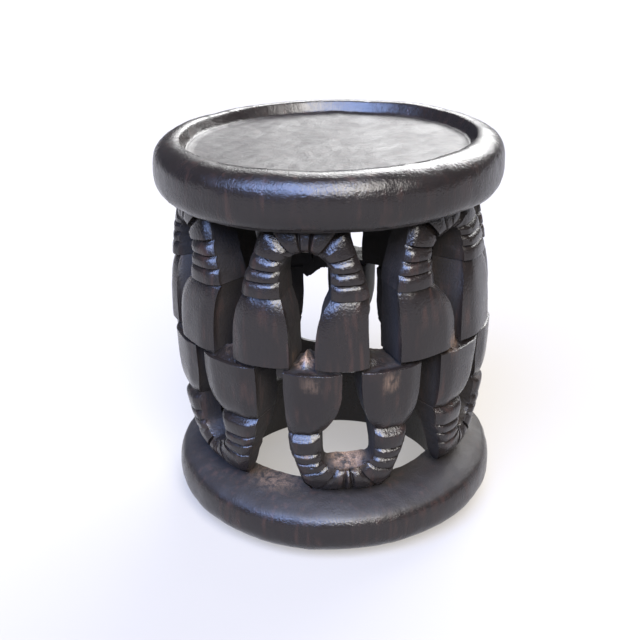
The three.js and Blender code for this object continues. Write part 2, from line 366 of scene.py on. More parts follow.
def side_point(centre, depth, thickness, z0, angle, fullness=SIDE_FULLNESS):
    """A point of a rounded side: a superellipse about the middle height."""
    power = 2 / fullness
    across = math.cos(angle) ** power
    up = math.copysign(abs(math.sin(angle)) ** power, math.sin(angle))
    return centre + depth * across, z0 + thickness / 2 * (1 + up)


def angle_at_radius(centre, depth, radius):
    return math.acos(((radius - centre) / depth) ** (SIDE_FULLNESS / 2))


def between(first, last, steps):
    """Points from the first one up to but without the last one."""
    return [tuple(lerp(np.array(first), np.array(last), i / steps)) for i in range(steps)]


def ring_steps(radius):
    """Fewer steps round the axis where a ring is small, so that faces stay near square."""
    return next((steps for limit, steps in RING_LIMITS if radius > limit), RING_LIMITS[-1][1])


def stitch(outer, inner):
    """Faces between two rings of point numbers, where the inner ring may have half as many."""
    faces = []
    count = len(inner)
    if len(outer) == count:
        for j in range(count):
            k = (j + 1) % count
            faces.append((outer[j], inner[j], inner[k], outer[k]))
        return faces
    for j in range(count):
        k = (j + 1) % count
        a, b, c = outer[2 * j], outer[2 * j + 1], outer[(2 * j + 2) % len(outer)]
        faces += [(a, inner[j], b), (b, inner[j], inner[k]), (b, inner[k], c)]
    return faces


def turn(name, profile, closed):
    """Turns a profile of (radius, height) points. An open one starts and ends on the axis."""
    ring_points = profile if closed else profile[1:-1]
    vertices, rings = [], []
    start = 0
    for radius, z in ring_points:
        steps = ring_steps(radius)
        angles = np.arange(steps) * 360 / steps
        vertices.append(wrapped(angles, radius, np.full(steps, z)))
        rings.append(list(range(start, start + steps)))
        start += steps
    faces = []
    following = rings[1:] + rings[:1] if closed else rings[1:]
    for ring, next_ring in zip(rings, following):
        if len(ring) >= len(next_ring):
            faces += stitch(ring, next_ring)
        else:
            faces += [face[::-1] for face in stitch(next_ring, ring)]
    if not closed:
        poles = ((start, rings[0], profile[0][1]), (start + 1, rings[-1][::-1], profile[-1][1]))
        for pole, ring, z in poles:
            vertices.append(np.array([(0, 0, z)]))
            faces += [(pole, a, b) for a, b in zip(ring, ring[1:] + ring[:1])]
    return make_object(name, np.concatenate(vertices), faces)


def seat_profile(sizes):
    """From the middle of the dish out over the rim and back under the seat."""
    height, thickness = sizes.height, sizes.seat_thickness
    floor = height - sizes.dish_depth
    centre = sizes.seat_radius - SEAT_SIDE_DEPTH
    underside = height - thickness
    points = [(0, floor)] + [(r * MM, floor) for r in np.arange(*FLOOR_RINGS)]
    points += [(DISH_RADIUS + out * MM, floor + up * MM) for out, up in DISH_FOOT]
    out, up = DISH_WALL_START
    wall_top = (RIM_INNER_RADIUS, height - DISH_WALL_STOP)
    points += between((DISH_RADIUS + out * MM, floor + up * MM), wall_top, DISH_WALL_RINGS)
    out, down = RIM_EASE
    points += [wall_top, (RIM_INNER_RADIUS + out * MM, height - down * MM)]
    for i in range(1, SIDE_RINGS + 1):
        angle = math.radians(lerp(SEAT_SIDE_REACH, -SEAT_SIDE_REACH, i / SIDE_RINGS))
        fullness = SEAT_TOP_FULLNESS if angle > 0 else SIDE_FULLNESS
        points.append(side_point(centre, SEAT_SIDE_DEPTH, thickness, underside, angle, fullness))
    points += [(r * MM, underside) for r in UNDERSIDE_RINGS]
    return points + [(0, underside)]


def base_profile(sizes):
    """A closed section: over the top and the rounded side to the foot, and up the hole."""
    centre = sizes.base_radius - BASE_SIDE_DEPTH
    thickness = sizes.base_thickness
    top = angle_at_radius(centre, BASE_SIDE_DEPTH, HOLE_TOP_RADIUS)
    bottom = -angle_at_radius(centre, BASE_SIDE_DEPTH, FOOT_RADIUS + FOOT_EASE)
    dense = [side_point(centre, BASE_SIDE_DEPTH, thickness, 0, lerp(top, bottom, i / BASE_FINE_STEPS))
             for i in range(BASE_FINE_STEPS + 1)]
    points = even_steps(np.array(dense), BASE_RINGS)
    points += [(FOOT_RADIUS, 0), ((FOOT_RADIUS + HOLE_BOTTOM_RADIUS) / 2, 0)]
    return points + between((HOLE_BOTTOM_RADIUS, 0), dense[0], HOLE_RINGS)


def even_steps(line, count):
    """The same line with its points spaced evenly along it."""
    lengths = np.concatenate([[0], np.cumsum(np.linalg.norm(np.diff(line, axis=0), axis=1))])
    wanted = np.linspace(0, lengths[-1], count)
    return [(np.interp(w, lengths, line[:, 0]), np.interp(w, lengths, line[:, 1])) for w in wanted]


# Gong pairs


def facets(spots, share):
    """0 on the middle facet, growing to 1 at the arrises, with a soft bend between."""
    over = share - np.minimum(spots, 1 - spots)
    soft = np.where(over > FACET_SOFTNESS, over, (over + FACET_SOFTNESS) ** 2 / (4 * FACET_SOFTNESS))
    return np.where(over < -FACET_SOFTNESS, 0, soft) / share


def tier_joints(tier):
    """Joint lines of the whole hairpin: signed half angle and rise, inner then outer edge."""
    half = []
    for i, (inner_half, inner_rise, outer_half, outer_rise) in enumerate(HANDLE_JOINTS):
        lift = tier["collar_rise"] if i else 0
        if i == KEYSTONE_JOINT:
            inner_half, outer_half = tier["keystone"]
        rises = [rise * MM * tier["reach"] + lift for rise in (inner_rise, outer_rise)]
        half.append((-inner_half, rises[0], -outer_half, rises[1]))
    mirrored = [(-a, b, -c, d) for a, b, c, d in reversed(half)]
    return np.array(half + mirrored)


def spline(points, places):
    """A Catmull-Rom curve through the points, at places counted in points."""
    padded = np.concatenate([[2 * points[0] - points[1]], points, [2 * points[-1] - points[-2]]])
    first = np.clip(np.floor(places).astype(int), 0, len(points) - 2)
    u = (places - first)[..., None]
    p0, p1, p2, p3 = (padded[first + i] for i in range(4))
    return 0.5 * (2 * p1 + (p2 - p0) * u + (2 * p0 - 5 * p1 + 4 * p2 - p3) * u ** 2
                  + (3 * p1 - p0 - 3 * p2 + p3) * u ** 3)


class Hairpin:
    """One gong pair unrolled: rings from the left bell's mouth over the crown to the right."""

    def __init__(self, tier):
        self.tier = tier
        self.joints = tier_joints(tier)
        self.rings = []

    def segment_length(self, segment, spots):
        """Length of a segment between its two joints, at each spot across the face."""
        a, b = self.joints[segment], self.joints[segment + 1]
        step_half = lerp(b[2] - a[2], b[0] - a[0], spots) * DEGREE_ON_WALL
        step_rise = lerp(b[3] - a[3], b[1] - a[1], spots)
        return np.hypot(step_half, step_rise)

    def place(self, joint, distance, spots):
        """A distance in metres from a joint, towards the crown if positive, as a place."""
        ahead = self.segment_length(joint, spots)
        behind = self.segment_length(max(joint - 1, 0), spots)
        return joint + np.where(distance > 0, distance / ahead, distance / behind)

    def add_ring(self, half, z, relief, flare, flank_half, flank_z, crown=0.0):
        self.rings.append((half, z, relief, flare, flank_half, flank_z, crown))

    def add_handle_ring(self, places, relief):
        """A ring across the handle. Places and relief are given for every face spot."""
        spots = FACE_SPOTS
        points = spline(self.joints, places)
        half = lerp(points[:, 2], points[:, 0], spots)
        rise = lerp(points[:, 3], points[:, 1], spots)
        tier = self.tier
        up = tier["towards_handle"]
        bow = tier["bow"] * (1 - (2 * spots - 1) ** 2)
        z = tier["shoulder_height"] + up * rise - bow
        drop = HANDLE_ARRIS_DROP * facets(spots, HANDLE_ARRIS_SHARE)
        drop = drop + HANDLE_ROUNDNESS * (2 * spots - 1) ** 2
        from_bell = np.minimum(places[-1], 2 * KEYSTONE_JOINT + 1 - places[-1])
        crown = float(smooth_step(*BACK_LIFT_FADE, from_bell))
        self.add_ring(half, z, relief - drop, 1.0, (half[0], half[-1]), (z[0], z[-1]), crown)

    def add_level_ring(self, place, relief):
        """A ring across the handle at one place and with one relief for all spots."""
        self.add_handle_ring(np.full(len(FACE_SPOTS), place), np.full(len(FACE_SPOTS), relief))

    def add_bell_ring(self, share, z, relief=0.0):
        tier = self.tier
        flare = share ** FLARE_POWER
        inner = lerp(tier["mouth"][0], PATTERN_INNER, flare)
        outer = lerp(tier["mouth"][1], PATTERN_OUTER, flare)
        half = -lerp(outer, inner, FACE_SPOTS)
        drop = BELL_ARRIS_DROP * facets(FACE_SPOTS, FACET_SHARE) + SHOULDER_RECESS * share ** SHOULDER_POWER
        heights = np.full(len(FACE_SPOTS), z)
        self.add_ring(half, heights, relief - drop, flare, (half[0], half[-1]), (z, z))

    def carve_bell(self):
        tier = self.tier
        mouth, shoulder = tier["mouth_height"], tier["shoulder_height"]
        up = tier["towards_handle"]
        self.add_bell_ring(0.0, mouth, -MOUTH_CHAMFER)
        self.add_bell_ring(0.0, mouth + up * MOUTH_CHAMFER_RISE)
        for i in range(1, BELL_LEVELS + 1):
            share = math.sin(math.pi / 2 * i / BELL_LEVELS)
            self.add_bell_ring(share, lerp(mouth, shoulder, share))

    def cut_depth(self, depth):
        """A cut is deepest in the middle of the face and fades towards the arrises."""
        inside = smooth_step(0, CUT_FADE, np.minimum(FACE_SPOTS, 1 - FACE_SPOTS))
        return depth * lerp(CUT_EDGE_SHARE, 1, inside), inside

    def carve_cut(self, joint):
        """The proud edge, the stop cut under it and the bevel below, at one joint line."""
        depth, outer_bevel, inner_bevel = (value * MM for value in self.tier["cuts"][joint])
        up = self.tier["towards_handle"]
        deep, inside = self.cut_depth(depth)
        bevel = lerp(outer_bevel, inner_bevel, FACE_SPOTS)
        above = [(EDGE_ROUND, 0.0), (0.0, -EDGE_DROP)]
        cut = [(lerp(-EDGE_DROP, UNDERCUT, inside), -deep), (-CUT_WIDTH, -deep * CUT_FLOOR_SHARE)]
        below = [(-CUT_WIDTH - bevel * width, -deep * share) for width, share in BEVEL_ROWS]
        if joint == 0 and up > 0:
            rows = above
        elif joint == 0:
            rows = cut + below
        else:
            rows = above + cut + below
        for distance, relief in rows if up < 0 else reversed(rows):
            places = self.place(joint, np.broadcast_to(up * distance, FACE_SPOTS.shape), FACE_SPOTS)
            self.add_handle_ring(places, relief + np.zeros(len(FACE_SPOTS)))

    def carve_groove(self, joint):
        """A soft groove beside the keystone."""
        depth, outer_width, inner_width = (value * MM for value in self.tier["groove"])
        width = lerp(outer_width, inner_width, FACE_SPOTS)
        deep, _ = self.cut_depth(depth)
        for across, share in GROOVE_ROWS:
            self.add_handle_ring(self.place(joint, across * width, FACE_SPOTS), -deep * share)

    def carve_half(self):
        self.carve_bell()
        self.carve_cut(0)
        for joint in range(1, KEYSTONE_JOINT):
            if joint == KEYSTONE_JOINT - 1:
                self.add_level_ring(joint - 1 + CROWN_ROW, CROWN_SWELL)
            self.add_level_ring(joint - 0.5, SEGMENT_SWELL)
            self.carve_cut(joint)
        for share in KEYSTONE_ROWS:
            self.add_level_ring(KEYSTONE_JOINT - 1 + share, CROWN_SWELL)
        self.carve_groove(KEYSTONE_JOINT)

    def mesh(self, name):
        self.carve_half()
        flipped = [(-half, z, relief, flare, (-flank[0], -flank[1]), flank_z, crown)
                   for half, z, relief, flare, flank, flank_z, crown in reversed(self.rings)]
        return loft_rings(name, [self.section(*ring) for ring in self.rings + flipped])

    def section(self, half, z, relief, flare, flank_half, flank_z, crown):
        """Rows of half angle, share of the wall's depth, height, relief, flare, back weight."""
        rows = [(h, 1.0, height, r, flare, 0.0) for h, height, r in zip(half, z, relief)]
        for share in FLANK_SHARES:
            rows.append((flank_half[1], share, flank_z[1], 0.0, flare, crown * (1 - share)))
        for spot in BACK_SPOTS:
            spot_half = lerp(flank_half[0], flank_half[1], spot)
            rows.append((spot_half, 0.0, lerp(flank_z[0], flank_z[1], spot), 0.0, flare, crown * spot))
        for share in FLANK_SHARES[::-1]:
            rows.append((flank_half[0], share, flank_z[0], 0.0, flare, 0.0))
        return np.array(rows)


def loft_rings(name, sections):
    """A closed loft whose two ends are capped by shrinking rings and a fan."""
    ends = []
    for section in (sections[0], sections[-1]):
        centre = section.mean(axis=0)
        ends.append([lerp(centre, section, share) for share in CAP_SHARES])
    rings = ends[0][::-1] + sections + ends[1]
    rows = np.concatenate(rings)
    sides = len(sections[0])
    faces = []
    for i in range(len(rings) - 1):
        for j in range(sides):
            k = (j + 1) % sides
            a = i * sides
            faces.append((a + j, a + k, a + sides + k, a + sides + j))
    first, last = len(rows), len(rows) + 1
    rows = np.concatenate([rows, [sections[0].mean(axis=0)], [sections[-1].mean(axis=0)]])
    start = (len(rings) - 1) * sides
    for j in range(sides):
        k = (j + 1) % sides
        faces.append((first, k, j))
        faces.append((last, start + j, start + k))
    attributes = {"relief": rows[:, 3], "flare": rows[:, 4], "back": rows[:, 5]}
    return make_object(name, rows[:, :3], faces, attributes)


SHAPE_NAMES = ("scale", "shift", "curl", "bend", "lift")


def pair_attributes(tier):
    """What the unrolled pattern needs to become each pair, as attributes of its point.

    At the mouth a pattern half angle h becomes shift + scale h, and on the handle it
    becomes h (bend + curl h), so that both edges meet the pair's own half angles there.
    """
    inner, outer = tier["mouth"]
    values = {"middle": [], "back_lift": []}
    for middle, left, right, back_lift in tier["pairs"]:
        values["middle"].append(middle)
        values["back_lift"].append(back_lift * MM)
        for side, shape in (("left", left), ("right", right)):
            mouth_inner, mouth_outer, shoulder_inner, shoulder_outer, lift = shape
            scale = (mouth_outer - mouth_inner) / (outer - inner)
            near, far = shoulder_inner / PATTERN_INNER, shoulder_outer / PATTERN_OUTER
            curl = (far - near) / (PATTERN_OUTER - PATTERN_INNER)
            shift = mouth_inner - scale * inner
            bend = near - curl * PATTERN_INNER
            for name, value in zip(SHAPE_NAMES, (scale, shift, curl, bend, lift * MM)):
                values.setdefault(side + "_" + name, []).append(value)
    return values


def gong_tier_tree():
    """Sets a tier's pairs round the drum: copies the unrolled pair and wraps each copy."""
    tree, given = node_group("gong tier", {"Geometry": "Geometry", "Pair": "Object", "Wood": "Material"}, {
        "Inner radius": WALL_INNER_RADIUS,
        "Foot inner radius": FOOT_INNER_RADIUS,
        "Foot hollow top": FOOT_HOLLOW_TOP,
        "Foot hollow end": FOOT_HOLLOW_END,
        "Swell radius": SWELL_RADIUS,
        "Swell height": SWELL_HEIGHT,
        "Curve above": CURVE_ABOVE,
        "Curve below": CURVE_BELOW,
        "Tuck height": TUCK_HEIGHT,
        "Tuck softness": TUCK_SOFTNESS,
    })
    pair = add(tree, "GeometryNodeObjectInfo", {"Object": given["Pair"]})["Geometry"]
    copies = add(tree, "GeometryNodeInstanceOnPoints", {"Points": given["Geometry"], "Instance": pair})[0]
    real = add(tree, "GeometryNodeRealizeInstances", (copies,))[0]
    names = ["middle", "back", "back_lift", "flare", "relief"]
    names += [side + name for side in ("left_", "right_") for name in SHAPE_NAMES]
    own = {name: add(tree, NAMED_ATTRIBUTE, {"Name": name}, data_type="FLOAT")[0] for name in names}
    value = {**given, **own}

    # azimuth and height of each point
    position = add(tree, "GeometryNodeInputPosition")[0]
    value["half"], value["share"], value["height"] = add(tree, "ShaderNodeSeparateXYZ", (position,))
    on_left = add(tree, MATH, (value["half"], 0.0), operation="LESS_THAN")[0]
    for name in SHAPE_NAMES:
        value[name] = add(tree, MIX, {0: on_left, 2: own["right_" + name], 3: own["left_" + name]})[0]
    add_steps(tree, value, (
        ("size", MATH, "ABSOLUTE", "half"),
        ("at mouth", MATH, "MULTIPLY_ADD", "size", "scale", "shift"),
        ("bending", MATH, "MULTIPLY_ADD", "size", "curl", "bend"),
        ("on handle", MATH, "MULTIPLY", "size", "bending"),
        ("side", MATH, "SIGN", "half"),
        ("full size", MATH, "DIVIDE", "size", FULL_LIFT_HALF),
        ("full size", MATH, "MINIMUM", "full size", 1.0),
        ("lifted", MATH, "MULTIPLY", "full size", "flare"),
        ("unlifted", MATH, "MULTIPLY_ADD", "back", "back_lift", "height"),
        ("z", MATH, "MULTIPLY_ADD", "lifted", "lift", "unlifted"),
        ("above", MATH, "GREATER_THAN", "z", "Swell height"),
        ("low", MATH, "SUBTRACT", "Tuck height", "z"),
        ("low", MATH, "MAXIMUM", "low", 0.0),
        ("rise", MATH, "SUBTRACT", "z", "Swell height"),
    ))
    value["reach"] = add(tree, MIX, {0: value["flare"], 2: value["at mouth"], 3: value["on handle"]})[0]
    value["curve"] = add(tree, MIX, {0: value["above"], 2: given["Curve below"], 3: given["Curve above"]})[0]
    inner = add(tree, MAP_RANGE, {
        "Value": value["z"], "From Min": given["Foot hollow top"], "From Max": given["Foot hollow end"],
        "To Min": given["Foot inner radius"], "To Max": given["Inner radius"],
    }, interpolation_type="SMOOTHSTEP")[0]

    # the wall's outer radius there
    add_steps(tree, value, (
        ("rise squared", MATH, "MULTIPLY", "rise", "rise"),
        ("double curve", MATH, "MULTIPLY", "curve", 2.0),
        ("swell", MATH, "DIVIDE", "rise squared", "double curve"),
        ("low squared", MATH, "MULTIPLY", "low", "low"),
        ("tuck", MATH, "DIVIDE", "low squared", "Tuck softness"),
        ("swollen", MATH, "SUBTRACT", "Swell radius", "swell"),
        ("outer", MATH, "SUBTRACT", "swollen", "tuck"),
    ))

    # the point in space
    value["depth"] = add(tree, MIX, {0: value["share"], 2: inner, 3: value["outer"]})[0]
    add_steps(tree, value, (
        ("degrees", MATH, "MULTIPLY_ADD", "reach", "side", "middle"),
        ("azimuth", MATH, "RADIANS", "degrees"),
        ("radius", MATH, "ADD", "depth", "relief"),
        ("sine", MATH, "SINE", "azimuth"),
        ("cosine", MATH, "COSINE", "azimuth"),
        ("backward", MATH, "MULTIPLY", "radius", "cosine"),
        ("across", MATH, "MULTIPLY", "radius", "sine"),
        ("along", MATH, "MULTIPLY", "backward", -1.0),
    ))
    spot = add(tree, "ShaderNodeCombineXYZ", (value["across"], value["along"], value["z"]))[0]
    moved = add(tree, "GeometryNodeSetPosition", {"Geometry": real, "Position": spot})[0]
    end_group(tree, moved, given["Wood"])
    return tree


def set_inputs(modifier, values):
    """Sets a Geometry Nodes modifier's inputs by their sockets' identifiers."""
    for item in modifier.node_group.interface.items_tree:
        if item.in_out == "INPUT" and item.name in values:
            modifier[item.identifier] = values[item.name]


def carve_tier(name, tier, tree, wood):
    template = Hairpin(tier).mesh(name + "_pair")
    points = make_object(name, np.zeros((len(tier["pairs"]), 3)), [], pair_attributes(tier))
    modifier = points.modifiers.new("gong tier", "NODES")
    modifier.node_group = tree
    set_inputs(modifier, {"Pair": template, "Wood": wood})
    tier_object = plain_copy(points, name)
    delete_object(template)
    orient(tier_object.data)
    return tier_object


def orient(mesh):
    """Turns the faces outwards if the closed mesh came out inside out."""
    mesh.calc_loop_triangles()
    triangles = numbers(mesh.loop_triangles, "vertices", 3, np.int64)
    if signed_volume(numbers(mesh.vertices, "co", 3), triangles) < 0:
        mesh.flip_normals()


# Joined wood


def mouth_spans(tier):
    """Azimuths between which each mouth of a tier lies."""
    spans = []
    for middle, left, right, _ in tier["pairs"]:
        spans.append((middle - left[1], middle - left[0]))
        spans.append((middle + right[0], middle + right[1]))
    return spans


def height_block(azimuths, radii, tops, bottom):
    """A closed block on a grid of azimuths and radii, between its top and bottom heights."""
    columns, rows = len(azimuths), len(radii)
    azimuth_grid, radius_grid = np.meshgrid(azimuths, radii, indexing="ij")
    top = wrapped(azimuth_grid, radius_grid, tops).reshape(-1, 3)
    floor = wrapped(azimuth_grid, radius_grid, np.broadcast_to(bottom, tops.shape)).reshape(-1, 3)
    count = columns * rows
    faces = []
    for i in range(columns - 1):
        for j in range(rows - 1):
            a = i * rows + j
            faces.append((a, a + rows, a + rows + 1, a + 1))
            faces.append((count + a, count + a + 1, count + a + rows + 1, count + a + rows))
    border = [i * rows for i in range(columns)]
    border += [(columns - 1) * rows + j for j in range(1, rows)]
    border += [i * rows + rows - 1 for i in range(columns - 2, -1, -1)]
    border += [j for j in range(rows - 2, 0, -1)]
    for a, b in zip(border, border[1:] + border[:1]):
        faces.append((b, a, count + a, count + b))
    return np.concatenate([top, floor]), faces


def merge_blocks(name, blocks):
    vertices, faces, start = [], [], 0
    for block_vertices, block_faces in blocks:
        vertices.append(block_vertices)
        faces += [tuple(start + i for i in face) for face in block_faces]
        start += len(block_vertices)
    made = make_object(name, np.concatenate(vertices), faces)
    orient(made.data)
    return made


def bridges():
    """The wood left where an upper and a lower mouth overlap."""
    blocks = []
    draw = np.random.default_rng(SEED)
    low = LOWER_TIER["mouth_height"] - BRIDGE_DEPTH
    high = UPPER_TIER["mouth_height"] + BRIDGE_DEPTH
    for upper_from, upper_to in mouth_spans(UPPER_TIER):
        for lower_from, lower_to in mouth_spans(LOWER_TIER):
            turns = 360 * round((upper_from - lower_from) / 360)
            start = max(upper_from, lower_from + turns) + BRIDGE_MARGIN
            end = min(upper_to, lower_to + turns) - BRIDGE_MARGIN
            if end - start > BRIDGE_MARGIN:
                outer = BRIDGE_OUTER_RADIUS - draw.uniform(*BRIDGE_SETBACK) * MM
                azimuths = np.linspace(start, end, BRIDGE_COLUMNS)
                radii = np.array([*(radius * MM for radius in BRIDGE_INSIDE_RADII), outer])
                tops = np.full((len(azimuths), len(radii)), high)
                blocks.append(height_block(azimuths, radii, tops, low))
    return merge_blocks("bridges", blocks)


def stretch(values, count):
    """The values spread evenly over a count of places, in metres."""
    return np.interp(np.linspace(0, 1, count), np.linspace(0, 1, len(values)), values) * MM


def web(middle, half_gap, foot, crest, heights, draw):
    """A rough saddle of leftover wood on a mouth, rising from its front foot to a crest."""
    columns, rows = WEB_GRID
    azimuths = middle + np.linspace(-1, 1, columns) * (half_gap + WEB_INTO_BELL)
    radii = np.linspace(foot, WALL_INNER_RADIUS / MM + WEB_BACK, rows) * MM
    rise = 1 - smooth_step(crest * MM, foot * MM, radii[None, :])
    behind = (crest * MM - radii[None, :]) / (crest * MM - WALL_INNER_RADIUS)
    fall = 1 - WEB_FALL * smooth_step(0, 1, behind)
    rough = draw.uniform(-WEB_ROUGHNESS, WEB_ROUGHNESS, size=(columns, rows)) * MM * rise
    tops = stretch(heights, columns)[:, None] * rise * fall + rough
    tops = tops + LOWER_TIER["mouth_height"] - WEB_FOOT_DEPTH
    return height_block(azimuths, radii, tops, LOWER_TIER["mouth_height"] - WEB_DEPTH)


def webs():
    """Leftover wood in every gap between neighbouring upper bells."""
    draw = np.random.default_rng(SEED + 1)
    blocks = [web(middle, half_gap, foot, crest, heights, draw)
              for middle, half_gap, foot, crest, heights in SHOWN_WEBS]
    spans = sorted(mouth_spans(UPPER_TIER))
    shown = [entry[0] for entry in SHOWN_WEBS]
    for (_, start), (end, _) in zip(spans, spans[1:] + [(spans[0][0] + 360, 0)]):
        middle = (start + end) / 2
        if min(abs(middle - azimuth) for azimuth in shown) > HIDDEN_DISTANCE:
            heights = tuple(draw.uniform(*HIDDEN_HEIGHTS, 3))
            foot = draw.uniform(*HIDDEN_FOOT)
            crest = foot - draw.uniform(*HIDDEN_STEP)
            blocks.append(web(middle, (end - start) / 2, foot, crest, heights, draw))
    return merge_blocks("webs", blocks)


def hanging_wood():
    """The leftover wood under some upper mouths."""
    draw = np.random.default_rng(SEED + 2)
    return merge_blocks("hanging_wood", [hanging_block(*entry, draw) for entry in HANGING_WOOD])


def hanging_block(start, end, inner, outer, drops, draw):
    """A ragged piece of leftover wood that hangs from an upper mouth."""
    columns, rows = 4 * len(drops), HANGING_ROWS
    azimuths = np.linspace(start, end, columns)
    radii = np.linspace(outer, inner, rows) * MM
    high = UPPER_TIER["mouth_height"] + WEB_DEPTH
    rough = draw.uniform(-HANGING_ROUGHNESS, HANGING_ROUGHNESS, size=(columns, rows)) * MM
    bottoms = UPPER_TIER["mouth_height"] - stretch(drops, columns)[:, None] + rough
    return height_block(azimuths, radii, np.full((columns, rows), high), bottoms)


def unite(parts, name):
    """One closed body from several closed ones."""
    body = parts[0]
    for part in parts[1:]:
        modifier = body.modifiers.new("unite", "BOOLEAN")
        modifier.operation = "UNION"
        modifier.solver = "MANIFOLD"
        modifier.object = part
    united = plain_copy(body, name)
    for part in parts[1:]:
        delete_object(part)
    return united


# Hand finish


# Spots of raw wood: azimuth, radius and height of the middle, reach across, reach up,
# strength from 0 to 1
RAW_SPOTS = (
    (5.0, 150, 112, 20, 14, 0.8),
    (-10.0, 158, 236, 13, 14, 1.0),
    (-9.8, 170, 127, 5, 4, 0.8),
    (19.0, 181, 214, 9, 12, 0.45),
    (-7.0, 181, 216, 10, 8, 0.3),
    (45.0, 174, 236, 12, 12, 0.6),
    (-28.0, 140, 76, 34, 10, 0.4),
    (-38.0, 172, 243, 10, 10, 0.25),
)


def numbers(collection, name, width, kind=np.float64):
    values = np.empty(len(collection) * width, dtype=np.float32 if kind is np.float64 else np.int32)
    collection.foreach_get(name, values)
    values = values.astype(kind)
    return values.reshape(-1, width) if width > 1 else values


def write_attribute(mesh, name, values):
    layer = mesh.attributes.get(name) or mesh.attributes.new(name, "FLOAT", "POINT")
    layer.data.foreach_set("value", np.asarray(values, dtype=np.float32))


def cylinder_places(points):
    return np.hypot(points[:, 0], points[:, 1]), np.degrees(np.arctan2(points[:, 0], -points[:, 1]))


def spread(values, edges, rounds):
    """Evens values out over neighbouring points."""
    for _ in range(rounds):
        total = values.copy()
        count = np.ones(len(values))
        np.add.at(total, edges[:, 0], values[edges[:, 1]])
        np.add.at(total, edges[:, 1], values[edges[:, 0]])
        np.add.at(count, edges.ravel(), 1)
        values = total / count
    return values


# Bounds between which a share grows from 0 to 1: how level the base's top and the seat's
# floor are, how much a flank faces outwards, and the height at which the feet stay put
BASE_TOP_LEVEL = (0.45, 0.85)
FLOOR_LEVEL = (0.7, 0.95)
FLANK_OUTWARD = (0.1, 0.6)
STEADY_HEIGHT = 7 * MM
FLOOR_TOOLING = 0.55

# Where tool marks may stand: this far over the base's top and under the seat's floor, this
# deep in from the wall's face, and on faces under the seat that look down this much
BASE_MARGIN = 4 * MM
DISH_MARGIN = 2 * MM
FLANK_DEPTH = 5 * MM
LOOKS_DOWN = -0.8


def mark_tooled(mesh, sizes):
    """Where the adze was left unsmoothed, and how much each point may move."""
    points = numbers(mesh.vertices, "co", 3)
    normals = numbers(mesh.vertex_normals, "vector", 3)
    radius, _ = cylinder_places(points)
    z = points[:, 2]
    outward = (normals[:, 0] * points[:, 0] + normals[:, 1] * points[:, 1]) / np.maximum(radius, 1e-6)
    up = normals[:, 2]
    on_drum = (z > sizes.base_thickness) & (z < sizes.height - sizes.seat_thickness)
    base_top = smooth_step(*BASE_TOP_LEVEL, up) * (z < sizes.base_thickness + BASE_MARGIN)
    in_dish = (z > sizes.height - sizes.dish_depth - DISH_MARGIN) * (radius < DISH_RADIUS)
    floor = FLOOR_TOOLING * in_dish * smooth_step(*FLOOR_LEVEL, up)
    deep_in = radius < wall_radius(z) - FLANK_DEPTH
    flanks = on_drum * (1 - smooth_step(*FLANK_OUTWARD, outward)) * deep_in
    underside = (z > sizes.height - sizes.seat_thickness - MM) * (up < LOOKS_DOWN)
    write_attribute(mesh, "tooled", np.clip(base_top + floor + flanks + underside, 0, 1))
    write_attribute(mesh, "steady", smooth_step(0, STEADY_HEIGHT, z))


# Noise hardly strays more than a quarter from its middle, so this brings it to full swing
NOISE_GAIN = 4.0


